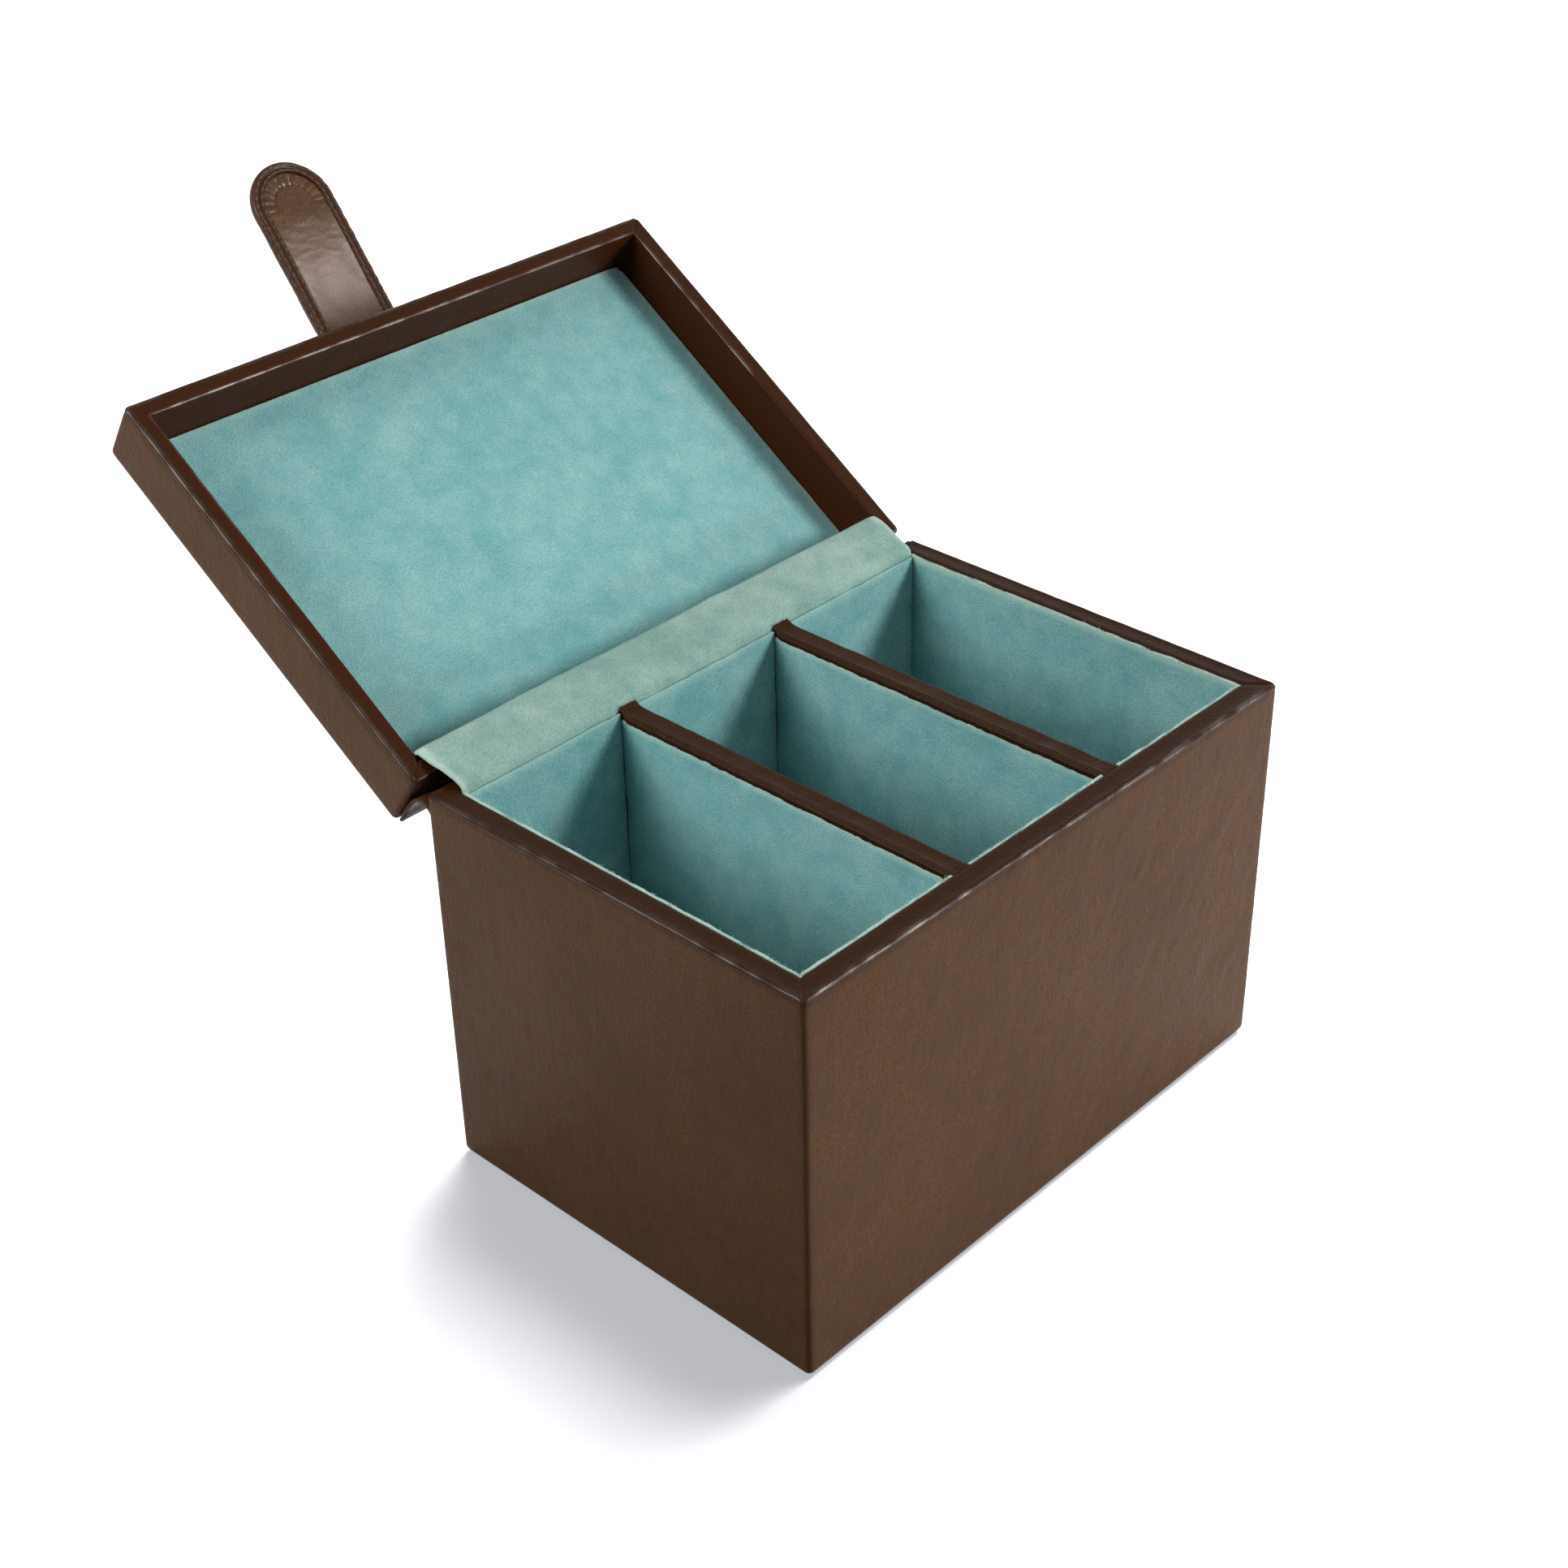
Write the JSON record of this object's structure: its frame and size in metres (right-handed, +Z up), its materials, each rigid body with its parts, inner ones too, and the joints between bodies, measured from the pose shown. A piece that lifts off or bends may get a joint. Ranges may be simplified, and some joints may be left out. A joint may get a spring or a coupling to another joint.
{
  "type": "jewellery case",
  "caption": "Leather-covered open jewellery case with suede-lined bays, a shallow lid on a leather hinge and a closing strap with a hidden magnet.",
  "frame": {"origin": "centre of the underside of the case, on the surface it stands on", "axes": "+X along the front towards the right end, +Y from the front to the hinge at the back, +Z up; the lid is drawn open"},
  "size_m": [0.2, 0.3129, 0.2358],
  "materials": {
    "brown_leather": "smooth calf leather, semi-gloss, dark brown",
    "blue_suede": "suede with a short nap, blue-green",
    "pale_suede": "suede with a short nap, pale green",
    "board": "raw fibreboard, hidden",
    "card": "stiff card, hidden",
    "keeper_steel": "plain steel disc, hidden",
    "magnet": "nickel-plated magnet, hidden",
    "thread": "waxed brown sewing thread"
  },
  "bodies": {
    "case": {"base_board": "board", "front_board": "board", "rear_board": "board", "left_board": "board", "right_board": "board", "body_leather": "brown_leather", "base_leather": "brown_leather", "left_divider_board": "board", "right_divider_board": "board", "left_divider_cap": "brown_leather", "right_divider_cap": "brown_leather", "left_bay_front_lining": "blue_suede", "middle_bay_front_lining": "blue_suede", "right_bay_front_lining": "blue_suede", "left_bay_rear_lining": "blue_suede", "middle_bay_rear_lining": "blue_suede", "right_bay_rear_lining": "blue_suede", "left_wall_lining": "blue_suede", "right_wall_lining": "blue_suede", "left_divider_left_lining": "blue_suede", "left_divider_right_lining": "blue_suede", "right_divider_left_lining": "blue_suede", "right_divider_right_lining": "blue_suede", "left_bay_floor": "blue_suede", "middle_bay_floor": "blue_suede", "right_bay_floor": "blue_suede", "keeper_plate": "keeper_steel", "outer_hinge_leather": "brown_leather", "inner_hinge_suede": "pale_suede"},
    "lid": {"lid_top_board": "board", "lid_front_board": "board", "lid_rear_board": "board", "lid_left_board": "board", "lid_right_board": "board", "lid_leather": "brown_leather", "lid_lining_card": "card", "lid_lining": "blue_suede", "strap_anchor": "brown_leather", "anchor_stitching": "thread", "strap_bend": "brown_leather"},
    "strap": {"strap_outer_leather": "brown_leather", "strap_core": "card", "strap_inner_leather": "brown_leather", "strap_magnet": "magnet", "strap_stitching": "thread"}
  },
  "joints": [
    {"name": "lid_hinge", "type": "hinge", "parent": "case", "child": "lid", "pos_m": [0, 0.0712, 0.1254], "axis": [1, 0, 0], "range_deg": [0, 146.3], "deforming": ["outer_hinge_leather", "inner_hinge_suede"]},
    {"name": "strap_flex", "type": "hinge", "parent": "lid", "child": "strap", "pos_m": [-0.0015, 0.20005, 0.18489], "axis": [1, 0, 0], "range_deg": [-35, 72], "stiffness_Nm_per_rad": 0.06, "deforming": ["strap_bend"]}
  ]
}
